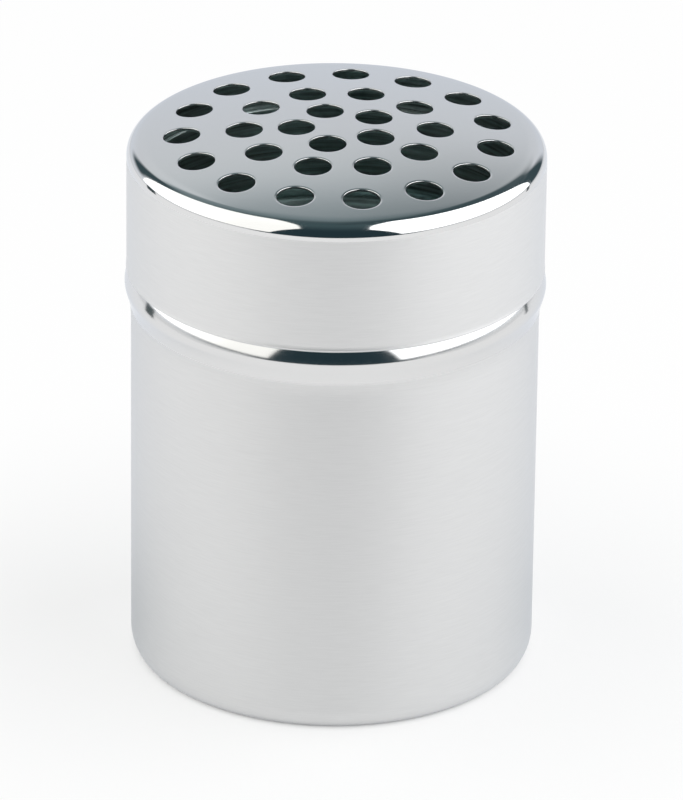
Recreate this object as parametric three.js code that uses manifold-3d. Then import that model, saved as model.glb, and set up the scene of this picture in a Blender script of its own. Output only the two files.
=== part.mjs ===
// A stainless steel spice shaker in two pieces: a drawn cup with a rolled stop bead below its
// neck, and a slip-on lid whose slightly domed top is punched with rings of round holes.
// Millimetres, +Z up, the origin in the middle of the face that it stands on.

import * as THREE from 'three';
import { mergeVertices } from 'three/addons/utils/BufferGeometryUtils.js';
import Module from 'manifold-3d';

const wasm = await Module();
wasm.setup();

// Sizes of the whole shaker
const overallHeight = 95.15;
const cupRadius = 34.25;        // outside of the cup's wall
const sheet = 0.6;

// Bottom of the cup
const baseCornerWidth = 1.8;    // the corner is a quarter of an ellipse
const baseCornerHeight = 3.4;
const standRingWidth = 2.45;    // of the flat ring that it stands on
const baseRecess = 0.8;         // how far the middle of the bottom is pressed up
const recessSlope = 1.6;        // width of the slope round the pressed-up middle

// Stop bead, rolled outwards below the neck
const beadProud = 0.32;         // how far its crest stands out past the lid
const beadLowerCurve = 2.6;     // radius of the crest's underside
const beadLowerFillet = 15;     // radius between the underside and the wall
const beadUpperCurve = 3.85;    // radius of the shoulder that carries the lid
const beadUpperFillet = 1.4;    // radius between the shoulder and the neck

// Neck, hidden inside the lid
const neckHeight = 15;          // above the lid's seat
const neckStep = 0.1;           // how much narrower it is than the cup's wall, on the radius
const neckClearance = 0.25;     // between the neck and the lid, on the radius

// Lid
const lidHeight = 25.2;
const seatGap = 0.3;            // between the lid's lower edge and the shoulder
const hemFlare = 0.15;          // how far the lower edge turns out
const hemHeight = 1.0;
const rimRadius = 2.8;          // outside of the rounded rim
const domeRadius = 215;         // of the top face
const lidTurn = 38.2;           // degrees that the lid is turned on the cup

// Holes in the lid: three rings of evenly spaced holes that share one starting line
const holeDiameter = 6.2;
const innerRingRadius = 7.2;
const middleRingPlace = 0.456;  // 0 on the inner ring, 1 on the outer ring
const outerRingMargin = 8.75;   // from the outer ring to the outside of the lid
const holesPerStep = 5;         // more holes in each ring than in the ring inside it
const patternShift = 0.44;      // the rings are punched this far to the right of the middle

// Fineness of the curves
const turnSteps = 64;
const holeSteps = 20;
const arcStepDegrees = 15;

const degrees = Math.PI / 180;

// Points on an arc in the profile's plane, both ends included. Angles are in degrees from the
// outward radial direction, positive upwards.
function arc(centreR, centreZ, radius, fromAngle, toAngle) {
  const steps = Math.max(2, Math.ceil(Math.abs(toAngle - fromAngle) / arcStepDegrees));
  const points = [];
  for (let i = 0; i <= steps; i++) {
    const angle = (fromAngle + (toAngle - fromAngle) * i / steps) * degrees;
    points.push([centreR + radius * Math.cos(angle), centreZ + radius * Math.sin(angle)]);
  }
  return points;
}

// The angle through which two equal turns of opposite sense, with these radii, step sideways
function stepAngle(radiusA, radiusB, sideStep) {
  return Math.acos(1 - sideStep / (radiusA + radiusB)) / degrees;
}

function revolve(points) {
  const profile = points.map(([r, z]) => new THREE.Vector2(r, z));
  const geometry = new THREE.LatheGeometry(profile, turnSteps);
  geometry.rotateX(Math.PI / 2);
  return geometry;
}

function toSolid(geometry) {
  geometry.deleteAttribute('normal');
  geometry.deleteAttribute('uv');
  const merged = mergeVertices(geometry, 1e-5);
  const vertProperties = new Float32Array(merged.attributes.position.array);
  const triVerts = new Uint32Array(merged.index.array);
  const mesh = new wasm.Mesh({ numProp: 3, vertProperties, triVerts });
  mesh.merge();
  return new wasm.Manifold(mesh);
}

function toGeometry(solid) {
  const mesh = solid.getMesh();
  const geometry = new THREE.BufferGeometry();
  geometry.setAttribute('position', new THREE.BufferAttribute(mesh.vertProperties, 3));
  geometry.setIndex(new THREE.BufferAttribute(mesh.triVerts, 1));
  geometry.computeVertexNormals();
  return geometry;
}

// The neck sets the lid's bore, and the lid's outside sets the bead's crest
const neckRadius = cupRadius - neckStep;
const lidBore = neckRadius + neckClearance;
const lidRadius = lidBore + sheet;
const beadRadius = lidRadius + beadProud;

// The lid's edge comes to rest where the shoulder is as wide as the lid's bore
const edgeHeight = overallHeight - lidHeight;
const seatHeight = edgeHeight - seatGap;
const seatAngle = Math.acos(1 - (beadRadius - lidBore) / beadUpperCurve);
const beadHeight = seatHeight - beadUpperCurve * Math.sin(seatAngle);
const mouthHeight = seatHeight + neckHeight;

const outerRingRadius = lidRadius - outerRingMargin;
const middleRingRadius = innerRingRadius + (outerRingRadius - innerRingRadius) * middleRingPlace;

// One side of the corner between the cup's bottom and its wall
function baseCorner(offset) {
  const points = [];
  for (let angle = -90; angle <= 0; angle += arcStepDegrees) {
    const across = Math.cos(angle * degrees);
    const up = Math.sin(angle * degrees);
    const normal = new THREE.Vector2(across / baseCornerWidth, up / baseCornerHeight).normalize();
    points.push([cupRadius - baseCornerWidth * (1 - across) - offset * normal.x,
      baseCornerHeight * (1 + up) - offset * normal.y]);
  }
  return points;
}

// One side of the cup's sheet from the base corner to the neck. offset moves the line into the
// metal: 0 gives the outer side and the sheet's thickness gives the inner side.
function cupWall(offset) {
  const lower = stepAngle(beadLowerCurve, beadLowerFillet, beadRadius - cupRadius);
  const upper = stepAngle(beadUpperCurve, beadUpperFillet, beadRadius - neckRadius);
  const lowerRise = (beadLowerCurve + beadLowerFillet) * Math.sin(lower * degrees);
  const upperRise = (beadUpperCurve + beadUpperFillet) * Math.sin(upper * degrees);
  const points = baseCorner(offset);
  points.push(...arc(cupRadius + beadLowerFillet, beadHeight - lowerRise,
    beadLowerFillet + offset, 180, 180 - lower));
  points.push(...arc(beadRadius - beadLowerCurve, beadHeight,
    beadLowerCurve - offset, -lower, 0).slice(1));
  points.push(...arc(beadRadius - beadUpperCurve, beadHeight,
    beadUpperCurve - offset, 0, upper).slice(1));
  points.push(...arc(neckRadius + beadUpperFillet, beadHeight + upperRise,
    beadUpperFillet + offset, 180 + upper, 180).slice(1));
  return points;
}

function makeCup() {
  const standRingRadius = cupRadius - baseCornerWidth - standRingWidth;
  const recessRadius = standRingRadius - recessSlope;
  const outside = [
    [0, baseRecess],
    [recessRadius, baseRecess],
    [standRingRadius, 0],
    ...cupWall(0),
    [neckRadius, mouthHeight],
  ];
  const inside = [
    [neckRadius - sheet, mouthHeight],
    ...cupWall(sheet).reverse(),
    [standRingRadius, sheet],
    [recessRadius, baseRecess + sheet],
    [0, baseRecess + sheet],
  ];
  return revolve([...outside, ...inside]);
}

// One side of the lid's sheet, from its lower edge to the middle of the dome
function lidSkin(offset) {
  const domeCentre = overallHeight - domeRadius;
  const rimCentreRadius = lidRadius - rimRadius;
  const rimCentreHeight = domeCentre
    + Math.sqrt((domeRadius - rimRadius) ** 2 - rimCentreRadius ** 2);
  const domeEdge = Math.acos(rimCentreRadius / (domeRadius - rimRadius)) / degrees;
  const ringCount = 5;
  const dome = [];
  for (let i = 1; i <= ringCount; i++) {
    const angle = (domeEdge + (90 - domeEdge) * i / ringCount) * degrees;
    const r = i === ringCount ? 0 : (domeRadius - offset) * Math.cos(angle);
    dome.push([r, domeCentre + (domeRadius - offset) * Math.sin(angle)]);
  }
  return [
    [lidRadius + hemFlare - offset, edgeHeight],
    [lidRadius - offset, edgeHeight + hemHeight],
    ...arc(rimCentreRadius, rimCentreHeight, rimRadius - offset, 0, domeEdge),
    ...dome,
  ];
}

function makeLid() {
  let lid = toSolid(revolve([...lidSkin(sheet).reverse(), ...lidSkin(0)]));
  const punch = new THREE.CylinderGeometry(holeDiameter / 2, holeDiameter / 2, lidHeight,
    holeSteps).rotateX(Math.PI / 2);
  [innerRingRadius, middleRingRadius, outerRingRadius].forEach((ringRadius, index) => {
    const count = holesPerStep * (index + 1);
    for (let i = 0; i < count; i++) {
      const angle = (lidTurn + 360 * i / count) * degrees;
      const hole = punch.clone().translate(patternShift + ringRadius * Math.cos(angle),
        ringRadius * Math.sin(angle), overallHeight);
      lid = lid.subtract(toSolid(hole));
    }
  });
  return toGeometry(lid);
}

const steel = { color: 0xd6d7d7, metalness: 1 };
const cupSteel = new THREE.MeshStandardMaterial({ ...steel, roughness: 0.32 });
const lidSteel = new THREE.MeshStandardMaterial({ ...steel, roughness: 0.28 });

function piece(name, geometry, material) {
  const mesh = new THREE.Mesh(geometry, material);
  mesh.name = name;
  return mesh;
}

const shaker = new THREE.Group();
shaker.add(piece('cup', makeCup(), cupSteel));
shaker.add(piece('perforated_lid', makeLid(), lidSteel));

export default shaker;
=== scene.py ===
"""A stainless steel spice shaker: a drawn cup with a stop bead and a perforated slip-on lid."""

import math

import bpy
import numpy as np
from mathutils import Matrix, Vector


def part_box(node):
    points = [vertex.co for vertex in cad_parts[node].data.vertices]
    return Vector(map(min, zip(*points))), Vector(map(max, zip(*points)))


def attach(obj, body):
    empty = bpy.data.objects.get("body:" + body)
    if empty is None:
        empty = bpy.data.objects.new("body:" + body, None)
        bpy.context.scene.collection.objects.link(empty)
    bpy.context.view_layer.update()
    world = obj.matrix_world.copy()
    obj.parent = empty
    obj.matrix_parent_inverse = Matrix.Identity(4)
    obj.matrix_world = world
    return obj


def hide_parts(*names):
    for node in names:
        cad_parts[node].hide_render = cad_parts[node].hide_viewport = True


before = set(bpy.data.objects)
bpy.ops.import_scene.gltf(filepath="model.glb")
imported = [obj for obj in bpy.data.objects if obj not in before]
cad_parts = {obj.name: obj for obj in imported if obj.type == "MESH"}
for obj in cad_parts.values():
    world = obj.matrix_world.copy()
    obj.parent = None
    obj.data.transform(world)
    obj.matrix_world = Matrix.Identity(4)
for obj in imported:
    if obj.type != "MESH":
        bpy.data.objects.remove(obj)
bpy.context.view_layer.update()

MM = 0.001
ON_AXIS = 1e-9                  # a smaller radius counts as the axis


def sin_deg(angle):
    return math.sin(math.radians(angle))


def cos_deg(angle):
    return math.cos(math.radians(angle))


# Sizes read from the frame
CUP_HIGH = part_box("cup")[1]
LID_LOW, LID_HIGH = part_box("perforated_lid")
BEAD_RADIUS = CUP_HIGH[0]
MOUTH_HEIGHT = CUP_HIGH[2]
HEM_RADIUS = LID_HIGH[0]
EDGE_HEIGHT = LID_LOW[2]
TOP_HEIGHT = LID_HIGH[2]

# The sheet and how the two pieces fit
SHEET = 0.6 * MM
HEM_FLARE = 0.15 * MM
HEM_HEIGHT = 1.0 * MM
HEM_CURL = 0.08 * MM            # how far the rounded edge itself stands out
NECK_CLEARANCE = 0.25 * MM
NECK_STEP = 0.1 * MM
LID_RADIUS = HEM_RADIUS - HEM_FLARE
LID_BORE = LID_RADIUS - SHEET
NECK_RADIUS = LID_BORE - NECK_CLEARANCE
CUP_RADIUS = NECK_RADIUS + NECK_STEP

# Cup
BASE_CORNER_WIDTH = 1.8 * MM    # the corner is a quarter of an ellipse
BASE_CORNER_HEIGHT = 3.4 * MM
STAND_RING_WIDTH = 2.45 * MM
BASE_RECESS = 0.8 * MM
RECESS_SLOPE = 1.6 * MM
RECESS_ROUNDING = 1.2 * MM
BEAD_HEIGHT = EDGE_HEIGHT - 2.6 * MM
BEAD_LOWER_CURVE = 2.6 * MM
BEAD_LOWER_FILLET = 16.2 * MM
# Upwards from the crest, its upper side, the face below the lid and the seat's corner: each one's
# radius, which stays above the sheet's thickness, and its tilt in degrees at the upper end
BEAD_CURVES = [(2.5 * MM, 13), (8.6 * MM, 26), (0.65 * MM, 55)]

# Lid: the dome runs over a wide shoulder into the tight curve of the rim
RIM_RADIUS = 2.65 * MM
SHOULDER_RADIUS = 5.5 * MM
SHOULDER_TILT = 12.5            # degrees of the surface where the shoulder meets the rim's curve
DOME_RADIUS = 215 * MM
DOME_CENTRE = TOP_HEIGHT - DOME_RADIUS
RIM_CENTRE_RADIUS = LID_RADIUS - RIM_RADIUS
SHOULDER_CENTRE_RADIUS = RIM_CENTRE_RADIUS - (SHOULDER_RADIUS - RIM_RADIUS) * sin_deg(SHOULDER_TILT)
SHOULDER_CENTRE_HEIGHT = DOME_CENTRE + math.sqrt(
    (DOME_RADIUS - SHOULDER_RADIUS) ** 2 - SHOULDER_CENTRE_RADIUS ** 2)
RIM_CENTRE_HEIGHT = SHOULDER_CENTRE_HEIGHT + (SHOULDER_RADIUS - RIM_RADIUS) * cos_deg(SHOULDER_TILT)
DOME_TILT = math.degrees(math.asin(SHOULDER_CENTRE_RADIUS / (DOME_RADIUS - SHOULDER_RADIUS)))
DOME_EDGE = DOME_RADIUS * sin_deg(DOME_TILT)
DOME_RING_STEP = 2.5 * MM

# Holes
HOLE_RADIUS = 3.1 * MM
HOLE_STEPS = 72
LIP_RADIUS = 0.1 * MM
LIP_STEPS = 6
DISH_RADIUS = 2.0 * MM          # of the shallow dish that the punch presses round a hole
DISH_STEPS = 3
DISH_TILT = 12                  # degrees of the surface where the dish meets the lip
DISH_END_TILT = 3
DISH_MARGIN = 0.08 * MM         # the dish's last ring keeps the dome's normals
LID_TURN = 38.2                 # degrees
RING_COUNT = 3
HOLES_PER_STEP = 5              # ring k holds k times as many holes
INNER_RING = 7.2 * MM
MIDDLE_RING_PLACE = 0.456       # 0 on the inner ring, 1 on the outer ring
OUTER_RING = LID_RADIUS - 8.75 * MM
MIDDLE_RING = INNER_RING + (OUTER_RING - INNER_RING) * MIDDLE_RING_PLACE
PATTERN_SHIFT = 0.44 * MM       # the rings sit this far to the right of the middle

# Fineness of the curves
TURN_STEPS = 256
ARC_STEP = 5                    # degrees
SEARCH_BATCH = 4096             # vertices compared with the section at a time


# Sections: lists of (radius, height, outward radial part, outward axial part)

def arc(centre_r, centre_z, radius, start, end, facing=1):
    """A stretch of circle. facing is 1 where the metal lies inside it and -1 where outside."""
    steps = max(3, math.ceil(abs(end - start) / ARC_STEP))
    points = []
    for i in range(steps + 1):
        angle = start + (end - start) * i / steps
        out_r, out_z = cos_deg(angle), sin_deg(angle)
        points.append((centre_r + radius * out_r, centre_z + radius * out_z,
                       facing * out_r, facing * out_z))
    return points


def base_corner(depth, facing):
    """The corner between the bottom and the wall, a quarter of an ellipse, depth into the metal."""
    points = []
    for angle in range(-90, 1, ARC_STEP):
        across, up = cos_deg(angle), sin_deg(angle)
        out = Vector((across / BASE_CORNER_WIDTH, up / BASE_CORNER_HEIGHT)).normalized()
        r = CUP_RADIUS - BASE_CORNER_WIDTH * (1 - across) - depth * out.x
        z = BASE_CORNER_HEIGHT * (1 + up) - depth * out.y
        points.append((r, z, facing * out.x, facing * out.y))
    return points


def cup_skin(depth, facing):
    """One side of the cup's sheet from its stand ring to the neck, depth into the metal."""
    curves = BEAD_LOWER_CURVE + BEAD_LOWER_FILLET
    lower = math.degrees(math.acos(1 - (BEAD_RADIUS - CUP_RADIUS) / curves))
    points = base_corner(depth, facing)
    points += arc(CUP_RADIUS + BEAD_LOWER_FILLET, BEAD_HEIGHT - curves * sin_deg(lower),
                  BEAD_LOWER_FILLET + depth, 180, 180 - lower, -facing)
    points += arc(BEAD_RADIUS - BEAD_LOWER_CURVE, BEAD_HEIGHT,
                  BEAD_LOWER_CURVE - depth, -lower, 0, facing)[1:]
    r, z, tilt = BEAD_RADIUS, BEAD_HEIGHT, 0
    for curve, end in BEAD_CURVES:
        centre_r, centre_z = r - curve * cos_deg(tilt), z - curve * sin_deg(tilt)
        points += arc(centre_r, centre_z, curve - depth, tilt, end, facing)[1:]
        r, z, tilt = centre_r + curve * cos_deg(end), centre_z + curve * sin_deg(end), end
    fillet = (r - NECK_RADIUS) / (1 - cos_deg(tilt))
    points += arc(NECK_RADIUS + fillet, z + fillet * sin_deg(tilt),
                  fillet + depth, 180 + tilt, 180, -facing)[1:]
    return points


def bottom_skin(depth, facing):
    """The bottom from the axis to the stand ring: a pressed-up middle with a slope round it."""
    ring = CUP_RADIUS - BASE_CORNER_WIDTH - STAND_RING_WIDTH
    tilt = math.degrees(math.atan2(BASE_RECESS, RECESS_SLOPE))
    reach = RECESS_ROUNDING * math.tan(math.radians(tilt / 2))
    points = [(0.0, BASE_RECESS + depth, 0.0, -facing)]
    points += arc(ring - RECESS_SLOPE - reach, BASE_RECESS - RECESS_ROUNDING,
                  RECESS_ROUNDING + depth, 90, 90 - tilt, -facing)
    points += arc(ring + reach, RECESS_ROUNDING, RECESS_ROUNDING - depth, -90 - tilt, -90, facing)
    return points


def cup_section():
    lip = arc(NECK_RADIUS - SHEET / 2, MOUTH_HEIGHT - SHEET / 2, SHEET / 2, 0, 180)
    outside = bottom_skin(0, 1) + cup_skin(0, 1)
    inside = bottom_skin(SHEET, -1) + cup_skin(SHEET, -1)
    return outside + lip + inside[::-1]


def cup_inner_side(section):
    """1 for each vertex of the revolved cup on the inner side of its sheet, 0 for the others."""
    rim = max(range(len(section)), key=lambda i: section[i][1])
    inside = []
    for i, point in enumerate(section):
        inside += [float(i > rim)] * (1 if point[0] < ON_AXIS else TURN_STEPS)
    return inside


def lid_skin(depth, facing):
    """One side of the lid's sheet, from its lower edge to the middle of the dome."""
    rise = HEM_HEIGHT - SHEET / 2
    flare = 2 * math.atan(HEM_CURL / rise)
    curve = rise / math.sin(flare) - SHEET / 2
    points = arc(LID_RADIUS + curve, EDGE_HEIGHT + HEM_HEIGHT, curve + depth,
                 180 + math.degrees(flare), 180, -facing)
    points += arc(RIM_CENTRE_RADIUS, RIM_CENTRE_HEIGHT, RIM_RADIUS - depth,
                  0, 90 - SHOULDER_TILT, facing)
    points += arc(SHOULDER_CENTRE_RADIUS, SHOULDER_CENTRE_HEIGHT, SHOULDER_RADIUS - depth,
                  90 - SHOULDER_TILT, 90 - DOME_TILT, facing)[1:]
    rings = math.ceil(DOME_EDGE / DOME_RING_STEP)
    radius = DOME_RADIUS - depth
    for i in range(1, rings):
        angle = 90 - DOME_TILT + DOME_TILT * i / rings
        out_r, out_z = cos_deg(angle), sin_deg(angle)
        points.append((radius * out_r, DOME_CENTRE + radius * out_z,
                       facing * out_r, facing * out_z))
    points.append((0.0, DOME_CENTRE + radius, 0.0, facing))
    return points


def lid_section():
    outside, inside = lid_skin(0, 1), lid_skin(SHEET, -1)
    (r_out, z_out), (r_in, z_in) = outside[0][:2], inside[0][:2]
    middle_r, middle_z = (r_out + r_in) / 2, (z_out + z_in) / 2
    start = math.degrees(math.atan2(z_out - middle_z, r_out - middle_r))
    edge = arc(middle_r, middle_z, SHEET / 2, start - 180, start)
    return inside[::-1] + edge[1:-1] + outside


def revolve(name, section):
    """Turns a section that starts and ends on the axis into a closed mesh with exact normals."""
    vertices, normals, rings = [], [], []
    for r, z, out_r, out_z in section:
        if r < ON_AXIS:
            rings.append([len(vertices)])
            vertices.append((0, 0, z))
            normals.append((0, 0, math.copysign(1, out_z)))
            continue
        rings.append(list(range(len(vertices), len(vertices) + TURN_STEPS)))
        for i in range(TURN_STEPS):
            turn = math.tau * i / TURN_STEPS
            c, s = math.cos(turn), math.sin(turn)
            vertices.append((r * c, r * s, z))
            normals.append((out_r * c, out_r * s, out_z))
    faces = []
    for low, high in zip(rings, rings[1:]):
        for i in range(TURN_STEPS):
            j = (i + 1) % TURN_STEPS
            if len(low) == 1:
                faces.append((low[0], high[j], high[i]))
            elif len(high) == 1:
                faces.append((low[i], low[j], high[0]))
            else:
                faces.append((low[i], low[j], high[j], high[i]))
    mesh = bpy.data.meshes.new(name)
    mesh.from_pydata(vertices, [], faces)
    mesh.update()
    return mesh, normals


def add_piece(name, mesh):
    piece = bpy.data.objects.new(name, mesh)
    bpy.context.scene.collection.objects.link(piece)
    return piece


def finish_mesh(mesh, normals, inside):
    """Sets exact normals and notes which vertices lie on the inner side of the sheet."""
    mesh.shade_smooth()
    mesh.normals_split_custom_set_from_vertices(normals)
    mesh.attributes.new("inside", "FLOAT", "POINT").data.foreach_set("value", inside)


# Node trees

class Value:
    """A socket that carries numbers. Arithmetic on it adds Math nodes to its tree."""

    def __init__(self, graph, socket):
        self.graph, self.socket = graph, socket

    def math(self, operation, *others):
        return self.graph.add("ShaderNodeMath", {"operation": operation}, [self, *others])

    def __add__(self, other): return self.math("ADD", other)
    def __sub__(self, other): return self.math("SUBTRACT", other)
    def __mul__(self, other): return self.math("MULTIPLY", other)
    def __truediv__(self, other): return self.math("DIVIDE", other)
    def __radd__(self, other): return self.math("ADD", other)
    def __rmul__(self, other): return self.math("MULTIPLY", other)
    def __rsub__(self, other): return self.math("MULTIPLY_ADD", -1, other)
    def __rtruediv__(self, other): return self.math("POWER", -1) * other
    def __pow__(self, other): return self.math("POWER", other)
    def __neg__(self): return self.math("MULTIPLY", -1)


class Graph:
    """A node tree under construction."""

    def __init__(self, tree):
        self.tree = tree

    def add(self, kind, settings=(), sockets=(), output=0):
        """Adds a node, sets it up, fills its inputs by name or in order, and gives one output."""
        node = self.tree.nodes.new(kind)
        for name, value in dict(settings).items():
            setattr(node, name, value)
        pairs = sockets.items() if isinstance(sockets, dict) else enumerate(sockets)
        for key, value in pairs:
            self.fill(node.inputs[key], value)
        return Value(self, node.outputs[output])

    def fill(self, socket, value):
        if isinstance(value, Value):
            self.tree.links.new(value.socket, socket)
        else:
            socket.default_value = value

    def end(self, kind, socket, value):
        """Adds the tree's output node and links a value to it."""
        self.fill(self.tree.nodes.new(kind).inputs[socket], value)

    def parts(self, vector):
        """The x, y and z of a vector."""
        x = self.add("ShaderNodeSeparateXYZ", (), [vector])
        return [Value(self, output) for output in x.socket.node.outputs]

    def ramp(self, value, low, high, smooth=True):
        """0 below low, 1 above high."""
        kind = "SMOOTHSTEP" if smooth else "LINEAR"
        return self.add("ShaderNodeMapRange", {"interpolation_type": kind, "clamp": True},
                        {"Value": value, "From Min": low, "From Max": high})

    def band(self, value, low, high, blur):
        """1 between low and high, 0 outside them."""
        return (self.ramp(value, low - blur, low + blur)
                * (1 - self.ramp(value, high - blur, high + blur)))

    def blend(self, factor, first, second, how="MIX"):
        """A mix of two colours."""
        settings = {"data_type": "RGBA", "blend_type": how, "clamp_result": False}
        return self.add("ShaderNodeMix", settings, {0: factor, 6: first, 7: second}, output=2)


def empty_graph(owner):
    """The node tree of a material or world, with nothing in it."""
    owner.use_nodes = True
    owner.node_tree.nodes.clear()
    return Graph(owner.node_tree)


# The lid's holes

PUNCH_INPUTS = {
    "Hole Radius": ("NodeSocketFloat", HOLE_RADIUS),
    "Lip Radius": ("NodeSocketFloat", LIP_RADIUS),
    "Dish Radius": ("NodeSocketFloat", DISH_RADIUS),
    "Sheet": ("NodeSocketFloat", SHEET),
    "Dome Radius": ("NodeSocketFloat", DOME_RADIUS),
    "Dome Centre": ("NodeSocketFloat", DOME_CENTRE),
    "Inner Ring": ("NodeSocketFloat", INNER_RING),
    "Middle Ring": ("NodeSocketFloat", MIDDLE_RING),
    "Outer Ring": ("NodeSocketFloat", OUTER_RING),
    "Pattern Shift": ("NodeSocketFloat", PATTERN_SHIFT),
    "Holes Per Step": ("NodeSocketInt", HOLES_PER_STEP),
    "Lid Turn": ("NodeSocketFloat", math.radians(LID_TURN)),
    "Steel": ("NodeSocketMaterial", None),
}


def add_punch(g, size):
    """One punch: a cylinder whose rings follow the wall, the two lips and the dishes round them."""
    rings = 2 * (LIP_STEPS + DISH_STEPS + 2)
    blank = g.add("GeometryNodeMeshCylinder", {"fill_type": "NGON"},
                  {"Vertices": HOLE_STEPS, "Side Segments": rings - 1,
                   "Radius": 1.0, "Depth": float(rings - 1)})
    x, y, z = g.parts(g.add("GeometryNodeInputPosition"))
    side = z.math("SIGN")
    place = z.math("ABSOLUTE") - 0.5        # the ring's number, counted from the sheet's middle
    crease, end = math.radians(DISH_TILT), math.radians(DISH_END_TILT)
    in_lip = place.math("MINIMUM", LIP_STEPS) / LIP_STEPS
    lip_tilt = math.pi / 2 - in_lip * (math.pi / 2 - crease)
    in_dish = (place - LIP_STEPS).math("MAXIMUM", 0).math("MINIMUM", DISH_STEPS) / DISH_STEPS
    dish_tilt = crease - in_dish * (crease - end)
    lip, dish, hole = size["Lip Radius"], size["Dish Radius"], size["Hole Radius"]
    radius = (hole + lip * (1 - lip_tilt.math("SINE"))
              + dish * (math.sin(crease) - dish_tilt.math("SINE")))
    widest = hole + lip + dish * (math.sin(crease) - math.sin(end))
    sag = widest ** 2 / (size["Dome Radius"] * 2)
    past = place.math("GREATER_THAN", LIP_STEPS + DISH_STEPS + 0.5) * size["Sheet"]
    drop = (lip * (math.cos(crease) - lip_tilt.math("COSINE"))
            + dish * (math.cos(end) - dish_tilt.math("COSINE")))
    reach = size["Sheet"] / 2 - drop + past
    flat = g.add("ShaderNodeCombineXYZ", (), [x, y, 0.0])
    outward = g.add("ShaderNodeVectorMath", {"operation": "NORMALIZE"}, [flat])
    outward = g.add("ShaderNodeVectorMath", {"operation": "SCALE"},
                    {"Vector": outward, "Scale": radius})
    along = g.add("ShaderNodeCombineXYZ", (), [0.0, 0.0, side * reach - size["Sheet"] / 2 - sag])
    shaped = g.add("ShaderNodeVectorMath", {"operation": "ADD"}, [outward, along])
    return g.add("GeometryNodeSetPosition", (), {"Geometry": blank, "Position": shaped})


def place_punches(g, size, punch):
    """A punch square to the dome at each hole."""
    step = size["Holes Per Step"]
    points = g.add("GeometryNodePoints", (), {"Count": step * sum(range(RING_COUNT + 1))})
    index = g.add("GeometryNodeInputIndex")
    # Before ring k come step * k * (k - 1) / 2 holes. The 0.0001 keeps rounding off the edge.
    ring = (((index * 8 / step + 1.0001) ** 0.5 + 1) / 2).math("FLOOR")
    first = step * ring * (ring - 1) / 2
    turn = (index - first) / (step * ring) * math.tau + size["Lid Turn"]
    ring_radius = g.add("GeometryNodeIndexSwitch", {"data_type": "FLOAT"}, {"Index": ring - 1})
    switch = ring_radius.socket.node
    switch.index_switch_items.new()
    for item, name in enumerate(("Inner Ring", "Middle Ring", "Outer Ring"), 1):
        g.fill(switch.inputs[item], size[name])
    across = ring_radius * turn.math("COSINE") + size["Pattern Shift"]
    back = ring_radius * turn.math("SINE")
    rise = (size["Dome Radius"] ** 2 - across * across - back * back) ** 0.5
    axis = g.add("ShaderNodeCombineXYZ", (), [across, back, rise])
    centre = g.add("ShaderNodeCombineXYZ", (), [0.0, 0.0, size["Dome Centre"]])
    stand = g.add("ShaderNodeVectorMath", {"operation": "ADD"}, [axis, centre])
    points = g.add("GeometryNodeSetPosition", (), {"Geometry": points, "Position": stand})
    aligned = g.add("FunctionNodeAlignRotationToVector", {"axis": "Z"}, {"Vector": axis})
    return g.add("GeometryNodeInstanceOnPoints", (),
                 {"Points": points, "Instance": punch, "Rotation": aligned})


def punch_tree():
    """Cuts rings of holes square through a domed sheet and leaves each with rounded lips."""
    tree = bpy.data.node_groups.new("punched holes", "GeometryNodeTree")
    tree.interface.new_socket("Geometry", in_out="INPUT", socket_type="NodeSocketGeometry")
    for name, (kind, _) in PUNCH_INPUTS.items():
        tree.interface.new_socket(name, in_out="INPUT", socket_type=kind)
    tree.interface.new_socket("Geometry", in_out="OUTPUT", socket_type="NodeSocketGeometry")
    g = Graph(tree)
    given = tree.nodes.new("NodeGroupInput")
    size = {name: Value(g, given.outputs[name]) for name in ["Geometry", *PUNCH_INPUTS]}
    punches = place_punches(g, size, add_punch(g, size))
    cut = g.add("GeometryNodeMeshBoolean", {"operation": "DIFFERENCE", "solver": "EXACT"},
                {"Mesh 1": size["Geometry"], "Mesh 2": punches})
    realized = g.add("GeometryNodeRealizeInstances", (), [cut])
    finished = g.add("GeometryNodeSetMaterial", (),
                     {"Geometry": realized, "Material": size["Steel"]})
    g.end("NodeGroupOutput", "Geometry", finished)
    return tree


def punch_holes(piece, steel):
    """Runs the punch tree on a piece and leaves the plain result as its mesh."""
    tree = punch_tree()
    modifier = piece.modifiers.new("holes", "NODES")
    modifier.node_group = tree
    inputs = {s.name: s.identifier for s in tree.interface.items_tree if s.in_out == "INPUT"}
    for name, (_, value) in PUNCH_INPUTS.items():
        modifier[inputs[name]] = steel if value is None else value
    graph = bpy.context.evaluated_depsgraph_get()
    mesh = bpy.data.meshes.new_from_object(piece.evaluated_get(graph))
    piece.modifiers.remove(modifier)
    piece.data = mesh
    return mesh


def hole_axes():
    """Unit vectors from the dome's centre through the holes."""
    axes = []
    for number, radius in enumerate((INNER_RING, MIDDLE_RING, OUTER_RING), 1):
        count = HOLES_PER_STEP * number
        for i in range(count):
            turn = math.radians(LID_TURN) + math.tau * i / count
            across, back = PATTERN_SHIFT + radius * math.cos(turn), radius * math.sin(turn)
            axes.append((across, back, math.sqrt(DOME_RADIUS ** 2 - across ** 2 - back ** 2)))
    axes = np.array(axes)
    return axes / np.linalg.norm(axes, axis=1)[:, None]


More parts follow.
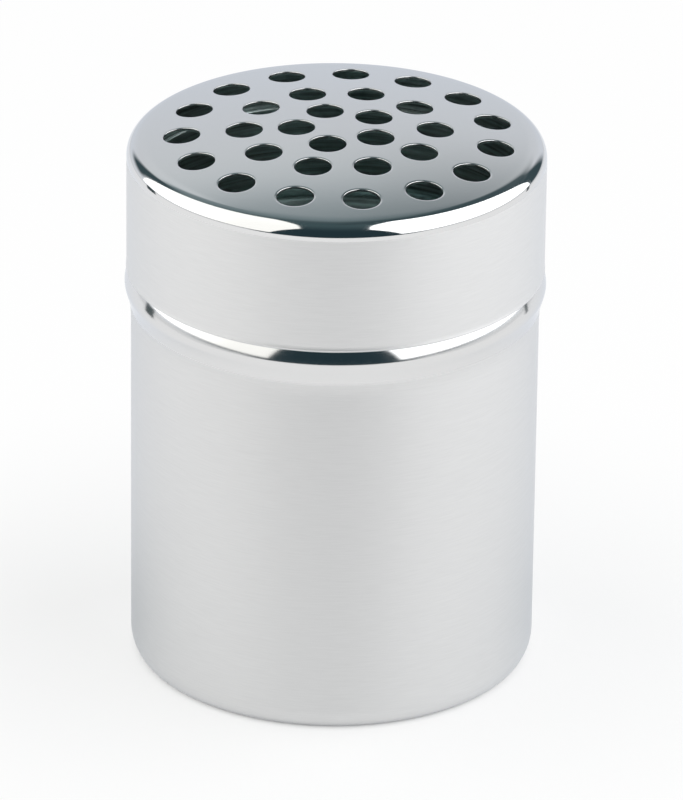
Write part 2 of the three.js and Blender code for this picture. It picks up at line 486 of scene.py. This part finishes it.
def lid_normals(mesh, section):
    """Exact normals for the punched lid, from its section or the nearest hole's lips and dish.

    The second result is 1 on the inner side of the sheet and 0 elsewhere.
    """
    points = np.empty(len(mesh.vertices) * 3)
    mesh.vertices.foreach_get("co", points)
    points = points.reshape(-1, 3)
    flat = np.hypot(points[:, 0], points[:, 1])
    table = np.array(section)
    nearest = np.empty(len(points), int)
    for start in range(0, len(points), SEARCH_BATCH):
        part = slice(start, start + SEARCH_BATCH)
        gap = ((flat[part, None] - table[None, :, 0]) ** 2
               + (points[part, 2, None] - table[None, :, 1]) ** 2)
        nearest[part] = gap.argmin(axis=1)
    around = points[:, :2] / np.maximum(flat, ON_AXIS)[:, None]
    normals = np.column_stack([around * table[nearest, 2, None], table[nearest, 3]])

    from_centre = points - (0, 0, DOME_CENTRE)
    distance = np.linalg.norm(from_centre, axis=1)
    on_dome = (points[:, 2] > RIM_CENTRE_HEIGHT) & (flat < DOME_EDGE)
    facing = np.where(distance > DOME_RADIUS - SHEET / 2, 1.0, -1.0)
    normals[on_dome] = (from_centre / distance[:, None] * facing[:, None])[on_dome]
    inner_half = nearest < len(section) // 2
    inside = np.where(on_dome, facing < 0, inner_half).astype(float)

    axes = hole_axes()
    closest = (from_centre @ axes.T).argmax(axis=1)
    axis = axes[closest]
    height = (from_centre * axis).sum(axis=1)
    outward = from_centre - axis * height[:, None]
    reach = np.linalg.norm(outward, axis=1)
    outward /= np.maximum(reach, ON_AXIS)[:, None]
    crease, end = sin_deg(DISH_TILT), sin_deg(DISH_END_TILT)
    lip_end = HOLE_RADIUS + LIP_RADIUS * (1 - crease)
    dish_end = lip_end + DISH_RADIUS * (crease - end)
    in_hole = on_dome & (reach < dish_end - DISH_MARGIN)
    lean = np.where(reach < lip_end, 1 - (reach - HOLE_RADIUS) / LIP_RADIUS,
                    crease - (reach - lip_end) / DISH_RADIUS).clip(0, 1)
    lips = axis * (np.sqrt(1 - lean ** 2) * facing)[:, None] - outward * lean[:, None]
    normals[in_hole] = lips[in_hole]
    return normals, inside


# Steel

CUP_STEEL = (0.73, 0.731, 0.732, 1)
# A shade lighter than the cup's steel: painted light on the lid's walls.
LID_STEEL_PAINTED_LIGHTER = (0.75, 0.751, 0.752, 1)
INNER_STEEL_PAINTED_SHADE = (0.62, 0.72, 0.71, 1)     # painted shade with a painted teal cast on the inner side of the sheet
# The reflection's tint at grazing angles: partly the metal's own dip there, partly painted shade
# and a painted bluish reflection at the walls' edges.
GRAZING_DIP_AND_PAINTED_BLUE = (0.85, 0.88, 0.93, 1)

# Roughness
SATIN = 0.45
RIM_POLISH = 0.07
BEAD_POLISH = 0.12
DOME_SATIN = 0.2
INNER_SATIN = 0.3

# Polished bands: lower edge, upper edge and blur
RIM_BAND = (RIM_CENTRE_HEIGHT - 0.25 * MM, TOP_HEIGHT + 1 * MM, 0.15 * MM)
BEAD_BAND = (BEAD_HEIGHT - 3.4 * MM, BEAD_HEIGHT + 4 * MM, 0.5 * MM)
# The dome's own finish ends outwards over these radii and downwards over these heights
DOME_RADII = (RIM_CENTRE_RADIUS - 1.0 * MM, RIM_CENTRE_RADIUS + 0.5 * MM)
DOME_HEIGHTS = (RIM_CENTRE_HEIGHT, RIM_CENTRE_HEIGHT + 1 * MM)

# Brush lines: how finely they lie along x, y and z, per metre, and how much they darken
WALL_LINES = (240, 240, 5500)
DOME_LINES = (200, 4200, 200)
DRAWN_LINES = (60, 60, 1500)            # the coarser ones left inside by the drawing tool
BRUSH_DEPTH = 0.09
DRAWN_DEPTH = 2.2
POLISHED_AWAY = 0.8                     # share of the lines' depth that polishing removes

# Brushed steel spreads light across its brush lines, a quarter turn from the shader's direction
CUP_STRETCH, LID_STRETCH = 0.35, 0.2
STRETCH_TURN = 0.25


def brush_lines(g, coordinates, fineness):
    """Noise round 0, drawn out along the axes on which it is least fine."""
    spot = g.add("ShaderNodeCombineXYZ", (),
                 [along * fine for along, fine in zip(coordinates, fineness)])
    return g.add("ShaderNodeTexNoise", (), {"Vector": spot, "Scale": 1.0, "Detail": 2.0}) - 0.5


def steel_material(name, steel, stretch, polished_band, gloss, dome=False):
    """Satin steel with turned brush lines and one polished band. A dome gets its own finish."""
    material = bpy.data.materials.new(name)
    g = empty_graph(material)
    place = g.parts(g.add("ShaderNodeTexCoord", output="Object"))
    x, y, z = place
    inside = g.add("ShaderNodeAttribute", {"attribute_name": "inside"}, output="Fac")
    polish = g.band(z, *polished_band)
    lines = brush_lines(g, place, WALL_LINES)
    roughness = SATIN + polish * (gloss - SATIN)
    if dome:
        radius = (x * x + y * y) ** 0.5
        top = (1 - g.ramp(radius, *DOME_RADII)) * g.ramp(z, *DOME_HEIGHTS)
        roughness = roughness + top * (DOME_SATIN - gloss)
        lines = lines + top * (brush_lines(g, place, DOME_LINES) - lines)
    roughness = roughness + inside * (INNER_SATIN - roughness)
    lines = lines * BRUSH_DEPTH * (1 - polish * POLISHED_AWAY)
    drawn_lines = brush_lines(g, place, DRAWN_LINES) * DRAWN_DEPTH
    shade = 1 + lines + inside * (drawn_lines - lines)
    # The inner side's darker, teal colour is painted shade with a painted teal reflection.
    colour = g.blend(1.0, g.blend(inside, steel, INNER_STEEL_PAINTED_SHADE), shade, "MULTIPLY")
    metal = g.add("ShaderNodeBsdfPrincipled", (),
                  {"Base Color": colour, "Metallic": 1.0, "Roughness": roughness,
                   "Specular Tint": GRAZING_DIP_AND_PAINTED_BLUE, "Anisotropic": stretch,
                   "Anisotropic Rotation": STRETCH_TURN})
    g.end("ShaderNodeOutputMaterial", "Surface", metal)
    return material


# Pieces

cup_steel = steel_material("turned satin steel of the cup", CUP_STEEL, CUP_STRETCH,
                           BEAD_BAND, BEAD_POLISH)
lid_steel = steel_material("turned satin steel of the lid", LID_STEEL_PAINTED_LIGHTER, LID_STRETCH,
                           RIM_BAND, RIM_POLISH, dome=True)

cup_outline = cup_section()
cup_mesh, cup_normals = revolve("cup_sheet", cup_outline)
cup_mesh.materials.append(cup_steel)
finish_mesh(cup_mesh, cup_normals, cup_inner_side(cup_outline))
cup = add_piece("cup_sheet", cup_mesh)
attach(cup, "shaker_cup")
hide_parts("cup")

lid_outline = lid_section()
lid_mesh, _ = revolve("lid_sheet", lid_outline)
lid = add_piece("lid_sheet", lid_mesh)
lid_mesh = punch_holes(lid, lid_steel)
finish_mesh(lid_mesh, *lid_normals(lid_mesh, lid_outline))
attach(lid, "shaker_lid")
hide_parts("perforated_lid")


# Studio

CAMERA_DISTANCE = 1.31287
CAMERA_ELEVATION = math.radians(25.339)
CAMERA_AIM = Vector((1.272 * MM, 0, 44.877 * MM))
CAMERA_ROLL = math.radians(0.6956)
FOCAL_PIXELS = 7778.8
IMAGE_HEIGHT = 800
SENSOR = 36
VIEW_DEPTH = 20                         # reaches past the floor's far edge


def add_camera():
    data = bpy.data.cameras.new("camera")
    data.sensor_width = SENSOR
    data.lens = FOCAL_PIXELS * SENSOR / IMAGE_HEIGHT
    data.clip_end = VIEW_DEPTH
    back = Vector((0, -math.cos(CAMERA_ELEVATION), math.sin(CAMERA_ELEVATION)))
    camera = bpy.data.objects.new("camera", data)
    camera.location = CAMERA_AIM + back * CAMERA_DISTANCE
    turn = Matrix.Rotation(CAMERA_ROLL, 4, back)
    camera.rotation_mode = "QUATERNION"
    camera.rotation_quaternion = turn.to_quaternion() @ (-back).to_track_quat("-Z", "Y")
    bpy.context.scene.collection.objects.link(camera)
    bpy.context.scene.camera = camera


def seen_directly(g):
    """1 for rays of the camera, and for rays that left metal or went through glass."""
    camera, glossy, through = (g.add("ShaderNodeLightPath", output=name) for name in
                               ("Is Camera Ray", "Is Glossy Ray", "Is Transmission Ray"))
    return camera.math("MAXIMUM", glossy).math("MAXIMUM", through)


FLOOR_RADIUS = 6
FLOOR_COLOUR = (0.88, 0.88, 0.88, 1)
WHITE = (1, 1, 1, 1)
NEAR_GLOW, FAR_GLOW = 0.7, 0.97     # share of plain white in the floor, near the object and far off
BACK_GLOW = 0.2                     # the same in mirror images of the floor just behind it
BACK_FADE = (-0.02, 0.05)           # how far towards the camera they reach the near glow
NEAR, FAR = 0.04, 0.11
UNDER, BESIDE = 0.0318, 0.0348      # no glow under the object


def add_floor():
    bpy.ops.mesh.primitive_circle_add(vertices=128, radius=FLOOR_RADIUS, fill_type="NGON")
    floor = bpy.context.object
    floor.name = "floor"
    material = bpy.data.materials.new("white floor sheet")
    g = empty_graph(material)
    x, y, _ = g.parts(g.add("ShaderNodeTexCoord", output="Object"))
    radius = (x * x + y * y) ** 0.5
    camera = g.add("ShaderNodeLightPath", output="Is Camera Ray")
    bright = camera.math("MAXIMUM", g.ramp(-y, *BACK_FADE))
    near = BACK_GLOW + bright * (NEAR_GLOW - BACK_GLOW)
    glow = g.ramp(radius, UNDER, BESIDE) * near + g.ramp(radius, NEAR, FAR) * (FAR_GLOW - near)
    white = g.add("ShaderNodeEmission", (), {"Color": WHITE, "Strength": 1.0})
    matte = g.add("ShaderNodeBsdfDiffuse", (), {"Color": FLOOR_COLOUR})
    mix = g.add("ShaderNodeMixShader", (), [seen_directly(g) * glow, matte, white])
    g.end("ShaderNodeOutputMaterial", "Surface", mix)
    floor.data.materials.append(material)


# The tent: directions are heights above its centre's level and turns from the camera, positive to
# its right, both in degrees
TENT_RADIUS = 1.0
TENT_HEIGHT = 0.09                      # of its centre, near the object's top
# The backdrop's colour at some heights
BACKDROP = [(8, (0.80, 0.825, 0.86)), (25, (0.73, 0.75, 0.775)), (31, (0.72, 0.75, 0.765)),
            (36, (0.67, 0.71, 0.73)), (41, (0.22, 0.275, 0.29)), (55, (0.155, 0.205, 0.22)),
            (70, (0.075, 0.11, 0.12)), (90, (0.05, 0.09, 0.10))]
CLOTH_LOW = (0.02, 0.04, 0.05, 1)
CLOTH_HIGH = (0.06, 0.10, 0.11, 1)
CLOTH_HEIGHTS = (35, 85)                # the cloth turns from its low to its high colour
CLOTH_TURNS = (50, 105)                 # the cloth in front gives way to the backdrop
# Above these heights the backdrop's right side is dark, and grows lighter towards the middle
CORNER = (0.05, 0.08, 0.09, 1)
SHADE_HEIGHTS = (24, 38)
SHADE_TURNS = (104, 122)
SHADE_PER_DEGREE = 0.058                # from the middle
SHADE_LIMIT = 0.95
# Dark corners at the right and left: where each starts and ends and its blur, in turn and height
CORNERS = [((120, 147, 5), (-4, 32, 8)), ((-147, -126, 5), (8, 44, 6))]
# Below these heights lies the table's edge, dark in front and pale elsewhere
TABLE_EDGE = (0.92, 0.925, 0.93, 1)
TABLE_SHARE = 0.88
TABLE_TURNS = (33, 52)
TABLE_HEIGHTS = (-2, 1)


def add_tent():
    """The dim studio round the table: a backdrop that fades upwards, and dark cloth in front."""
    bpy.ops.mesh.primitive_uv_sphere_add(segments=96, ring_count=48, radius=TENT_RADIUS,
                                         location=(0, 0, TENT_HEIGHT))
    tent = bpy.context.object
    tent.name = "studio_tent"
    material = bpy.data.materials.new("backdrop and dark cloth")
    g = empty_graph(material)
    x, y, z = g.parts(g.add("ShaderNodeTexCoord", output="Object"))
    height = (z / TENT_RADIUS).math("ARCSINE") * (180 / math.pi)
    turn = x.math("ARCTAN2", -y) * (180 / math.pi)
    away = turn.math("ABSOLUTE")

    fade = g.add("ShaderNodeValToRGB", (), {"Fac": height / 90})
    stops = fade.socket.node.color_ramp
    while len(stops.elements) < len(BACKDROP):
        stops.elements.new(0.5)
    for element, (at, colour) in zip(stops.elements, BACKDROP):
        element.position = at / 90
        element.color = (*colour, 1)
    cloth = g.blend(g.ramp(height, *CLOTH_HEIGHTS), CLOTH_LOW, CLOTH_HIGH)
    studio = g.blend(g.ramp(away, *CLOTH_TURNS), cloth, fade)
    shade = ((180 - turn) * SHADE_PER_DEGREE * g.ramp(height, *SHADE_HEIGHTS, smooth=False)
             * g.ramp(turn, *SHADE_TURNS))
    studio = g.blend(shade.math("MINIMUM", SHADE_LIMIT), studio, CORNER)
    right, left = (g.band(turn, *turns) * g.band(height, *heights) for turns, heights in CORNERS)
    studio = g.blend(right + left, studio, CORNER)
    table_line = g.blend(g.ramp(away, *TABLE_TURNS) * TABLE_SHARE, CLOTH_LOW, TABLE_EDGE)
    studio = g.blend(1 - g.ramp(height, *TABLE_HEIGHTS), studio, table_line)
    glow = g.add("ShaderNodeEmission", (), {"Color": studio, "Strength": 1.0})
    g.end("ShaderNodeOutputMaterial", "Surface", glow)
    tent.data.materials.append(material)
    tent.visible_camera = False


SOFTBOX_FRONT, SOFTBOX_BACK = -0.623, 0.25      # along the camera's line of sight
SOFTBOX_DISTANCE = 0.42
SOFTBOX_FOOT = 0.10
SOFTBOX_HEIGHT = 0.98
STAND_DISTANCE = 0.45
STAND_HEIGHT = 0.085
STAND_COLOUR = (0.05, 0.075, 0.08, 1)
STAND_ROUGHNESS = 0.9


def add_softbox(name, side, lean, radiance, colour):
    """A tall soft lamp beside the table, leaning over it by some degrees."""
    width = SOFTBOX_BACK - SOFTBOX_FRONT
    data = bpy.data.lights.new(name, "AREA")
    data.shape = "RECTANGLE"
    data.size, data.size_y = width, SOFTBOX_HEIGHT
    data.energy = radiance * math.pi * width * SOFTBOX_HEIGHT
    data.color = colour
    lamp = bpy.data.objects.new(name, data)
    place = Vector((side * (SOFTBOX_DISTANCE - SOFTBOX_HEIGHT / 2 * sin_deg(lean)),
                    (SOFTBOX_FRONT + SOFTBOX_BACK) / 2,
                    SOFTBOX_FOOT + SOFTBOX_HEIGHT / 2 * cos_deg(lean)))
    facing = Vector((-side * cos_deg(lean), 0, -sin_deg(lean)))
    across = Vector((0, side, 0))
    axes = Matrix((across, across.cross(facing), -facing)).transposed().to_4x4()
    lamp.matrix_world = Matrix.Translation(place) @ axes
    lamp.visible_camera = False
    bpy.context.scene.collection.objects.link(lamp)


def add_stand(name, start, end):
    """A dark upright board at the object's side, between two turns. Only the steel mirrors it."""
    feet = [(STAND_DISTANCE * sin_deg(turn), -STAND_DISTANCE * cos_deg(turn))
            for turn in (start, end)]
    corners = [(x, y, z) for z in (0, STAND_HEIGHT) for x, y in feet]
    mesh = bpy.data.meshes.new(name)
    mesh.from_pydata(corners, [], [(0, 1, 3, 2)])
    material = bpy.data.materials.new(name)
    material.use_nodes = True
    shader = material.node_tree.nodes["Principled BSDF"]
    shader.inputs["Base Color"].default_value = STAND_COLOUR
    shader.inputs["Roughness"].default_value = STAND_ROUGHNESS
    mesh.materials.append(material)
    stand = add_piece(name, mesh)
    stand.visible_camera = False


SURROUND_GLOW = 0.6                     # of the white world as a light. It is 1 where it is seen


def add_world():
    world = bpy.data.worlds.new("white surround")
    g = empty_graph(world)
    strength = SURROUND_GLOW + seen_directly(g) * (1 - SURROUND_GLOW)
    light = g.add("ShaderNodeBackground", (), {"Color": WHITE, "Strength": strength})
    g.end("ShaderNodeOutputWorld", "Surface", light)
    bpy.context.scene.world = world


add_floor()
add_tent()
add_softbox("softbox_left", side=-1, lean=12, radiance=1.29, colour=(1.0, 0.98, 0.935))
add_softbox("softbox_right", side=1, lean=13, radiance=1.9, colour=(1.0, 1.0, 1.0))
add_stand("dark_stand_left", start=-116, end=-107.5)
add_stand("dark_stand_right", start=117, end=120)
add_world()
add_camera()
bpy.context.scene.view_settings.view_transform = "Standard"
